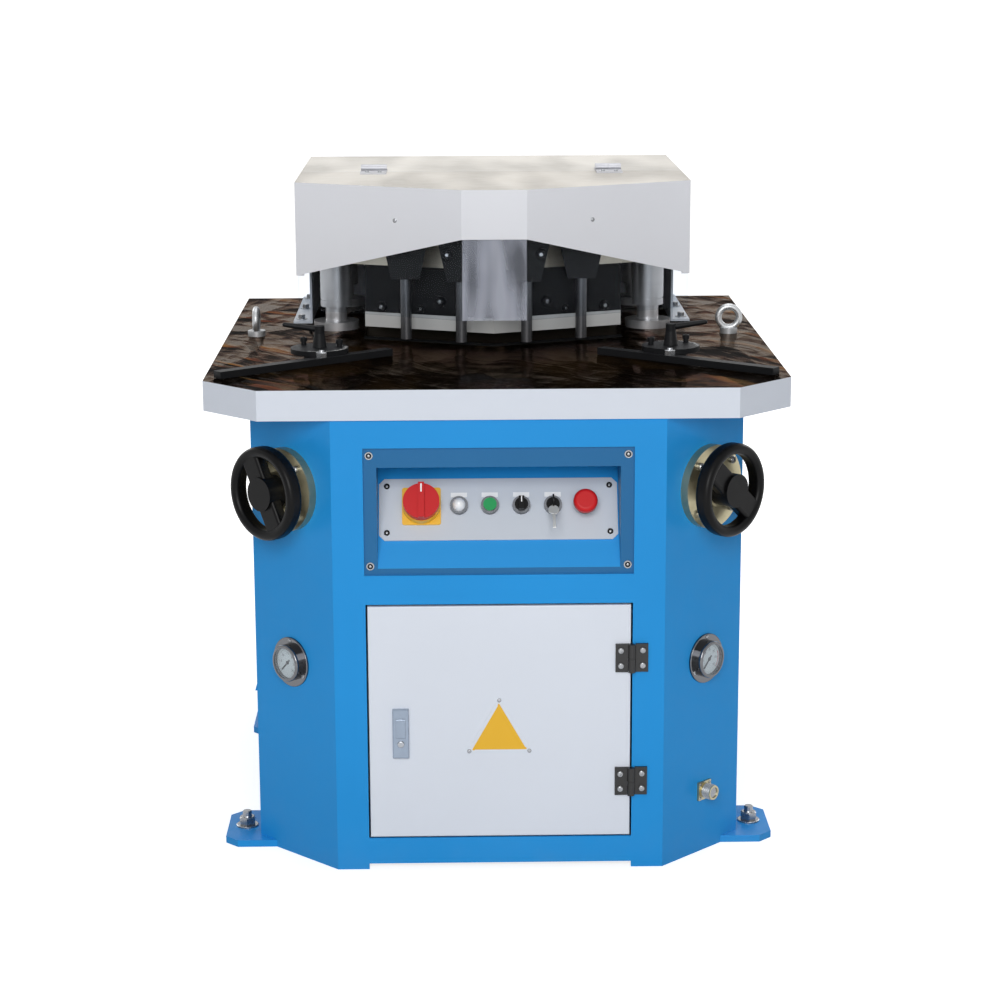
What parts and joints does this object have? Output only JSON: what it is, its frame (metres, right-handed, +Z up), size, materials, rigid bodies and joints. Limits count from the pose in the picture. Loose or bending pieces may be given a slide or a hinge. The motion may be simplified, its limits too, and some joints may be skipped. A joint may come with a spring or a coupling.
{
  "type": "angle notching machine",
  "caption": "Hydraulic angle notching machine: blue cabinet with a door and control recess, flat work table with swinging fences, and a hooded press head with V blades.",
  "frame": {"origin": "on the floor, under the middle of the whole machine", "axes": "+Z up, -Y to the front where the operator stands, +X to the operator's right"},
  "size_m": [0.97, 1.0555, 1.1173],
  "materials": {
    "blue_paint": "satin",
    "white_paint": "satin",
    "table_steel": "satin",
    "black_oxide": "satin",
    "ground_steel": "brushed",
    "bright_steel": "polished",
    "plated_steel": "satin",
    "grey_plate": "satin",
    "galvanised": "satin",
    "clear_sheet": "gloss",
    "glass": "gloss",
    "black_plastic": "gloss",
    "dark_plastic": "matte",
    "red_plastic": "gloss",
    "green_plastic": "gloss",
    "yellow_plastic": "satin",
    "lamp_lens": "gloss",
    "grey_cast": "satin"
  },
  "bodies": {
    "cabinet": {"front_sheet": "blue_paint", "left_side_sheet": "blue_paint", "right_side_sheet": "blue_paint", "rear_sheet": "blue_paint", "rear_cover": "blue_paint", "floor_plate": "galvanised", "foot_plates": "blue_paint", "table_plate": "table_steel", "die_bed": "grey_cast", "lower_blades": "ground_steel", "eyebolts": "bright_steel", "guide_columns": "bright_steel", "press_cylinder": "grey_cast", "oil_tank": "grey_cast", "pump_motor": "grey_cast", "hood_rear": "white_paint", "hood_supports": "grey_plate", "hood_hinge_fixed": "ground_steel", "door_hinge_fixed": "dark_plastic", "electrical_box": "grey_plate", "mounting_plate": "galvanised", "switchgear": "dark_plastic", "console": "blue_paint", "control_plate": "grey_plate", "bezels": "bright_steel", "pilot_lamp": "lamp_lens", "switch_plate": "yellow_plastic", "wheel_flanges": "plated_steel", "gauge_cases": "bright_steel", "gauge_glasses": "glass", "pedal_socket": "bright_steel", "fence_bases": "black_oxide"},
    "ram": {"ram": "ground_steel", "guide_bushes": "bright_steel", "upper_carriers": "black_oxide", "upper_blades": "ground_steel", "rod_housings": "black_oxide", "piston_rod": "ground_steel"},
    "hold_downs": {"hold_down_rods": "black_oxide"},
    "lid": {"hood_lid": "white_paint", "hood_guard": "clear_sheet", "hood_hinge_moving": "ground_steel"},
    "door": {"door": "white_paint", "door_hinge_moving": "dark_plastic", "latch_body": "plated_steel"},
    "latch_paddle": {"latch_paddle": "plated_steel"},
    "latch_button": {"latch_button": "plated_steel"},
    "left_handwheel": {"left_handwheel": "black_plastic"},
    "right_handwheel": {"right_handwheel": "black_plastic"},
    "left_needle": {"left_needle": "dark_plastic"},
    "right_needle": {"right_needle": "dark_plastic"},
    "switch_knob": {"switch_knob": "red_plastic"},
    "start_button": {"start_button": "green_plastic"},
    "selector": {"selector": "black_plastic"},
    "key_switch": {"key_switch": "ground_steel"},
    "stop_button": {"stop_button": "red_plastic"},
    "left_fence": {"left_fence": "black_oxide"},
    "right_fence": {"right_fence": "black_oxide"},
    "left_clamp_lever": {"left_clamp_lever": "black_oxide"},
    "right_clamp_lever": {"right_clamp_lever": "black_oxide"}
  },
  "joints": [
    {"name": "lid_lift", "type": "hinge", "parent": "cabinet", "child": "lid", "pos_m": [0, 0.1987, 1.1108], "axis": [-1, 0, 0], "range_deg": [0, 80]},
    {"name": "door_swing", "type": "hinge", "parent": "cabinet", "child": "door", "pos_m": [0.2185, -0.5126, 0.258], "axis": [0, 0, 1], "range_deg": [0, 115]},
    {"name": "latch_flip", "type": "hinge", "parent": "door", "child": "latch_paddle", "pos_m": [-0.1645, -0.5128, 0.2652], "axis": [-1, 0, 0], "range_deg": [0, 40]},
    {"name": "latch_push", "type": "slide", "parent": "door", "child": "latch_button", "axis": [0, 1, 0], "range_m": [0, 0.003], "stiffness_N_per_m": 400},
    {"name": "ram_stroke", "type": "slide", "parent": "cabinet", "child": "ram", "axis": [0, 0, -1], "range_m": [0, 0.025]},
    {"name": "hold_down_give", "type": "slide", "parent": "ram", "child": "hold_downs", "axis": [0, 0, 1], "range_m": [0, 0.02]},
    {"name": "left_handwheel_turn", "type": "hinge", "parent": "cabinet", "child": "left_handwheel", "pos_m": [-0.34795, -0.42935, 0.641], "axis": [-0.7071, -0.7071, 0], "continuous": true},
    {"name": "left_needle_turn", "type": "hinge", "parent": "cabinet", "child": "left_needle", "pos_m": [-0.34795, -0.42935, 0.343], "axis": [-0.7071, -0.7071, 0], "range_deg": [-270, 0]},
    {"name": "right_handwheel_turn", "type": "hinge", "parent": "cabinet", "child": "right_handwheel", "pos_m": [0.34795, -0.42935, 0.641], "axis": [0.7071, -0.7071, 0], "continuous": true},
    {"name": "right_needle_turn", "type": "hinge", "parent": "cabinet", "child": "right_needle", "pos_m": [0.34795, -0.42935, 0.343], "axis": [0.7071, -0.7071, 0], "range_deg": [-270, 0]},
    {"name": "main_switch_turn", "type": "hinge", "parent": "cabinet", "child": "switch_knob", "pos_m": [-0.12699, -0.4458, 0.61156], "axis": [0, -0.866, 0.5], "range_deg": [-90, 0]},
    {"name": "start_push", "type": "slide", "parent": "cabinet", "child": "start_button", "axis": [0, 0.866, -0.5], "range_m": [0, 0.004], "stiffness_N_per_m": 600},
    {"name": "selector_turn", "type": "hinge", "parent": "cabinet", "child": "selector", "pos_m": [0.03798, -0.4458, 0.61156], "axis": [0, -0.866, 0.5], "range_deg": [-45, 45]},
    {"name": "key_turn", "type": "hinge", "parent": "cabinet", "child": "key_switch", "pos_m": [0.08999, -0.4458, 0.61156], "axis": [0, -0.866, 0.5], "range_deg": [-90, 0]},
    {"name": "stop_push", "type": "slide", "parent": "cabinet", "child": "stop_button", "axis": [0, 0.866, -0.5], "range_m": [0, 0.005], "stiffness_N_per_m": 1500},
    {"name": "left_fence_swing", "type": "hinge", "parent": "cabinet", "child": "left_fence", "pos_m": [-0.303, -0.2093, 0.832], "axis": [0, 0, 1], "range_deg": [-15, 15]},
    {"name": "left_lever_turn", "type": "hinge", "parent": "cabinet", "child": "left_clamp_lever", "pos_m": [-0.303, -0.2093, 0.832], "axis": [0, 0, 1], "range_deg": [-60, 60]},
    {"name": "right_fence_swing", "type": "hinge", "parent": "cabinet", "child": "right_fence", "pos_m": [0.303, -0.2093, 0.832], "axis": [0, 0, 1], "range_deg": [-15, 15]},
    {"name": "right_lever_turn", "type": "hinge", "parent": "cabinet", "child": "right_clamp_lever", "pos_m": [0.303, -0.2093, 0.832], "axis": [0, 0, 1], "range_deg": [-60, 60]}
  ],
  "couplings": [
    {"joint": "hold_down_give", "follows": "ram_stroke", "ratio": 0.78}
  ]
}
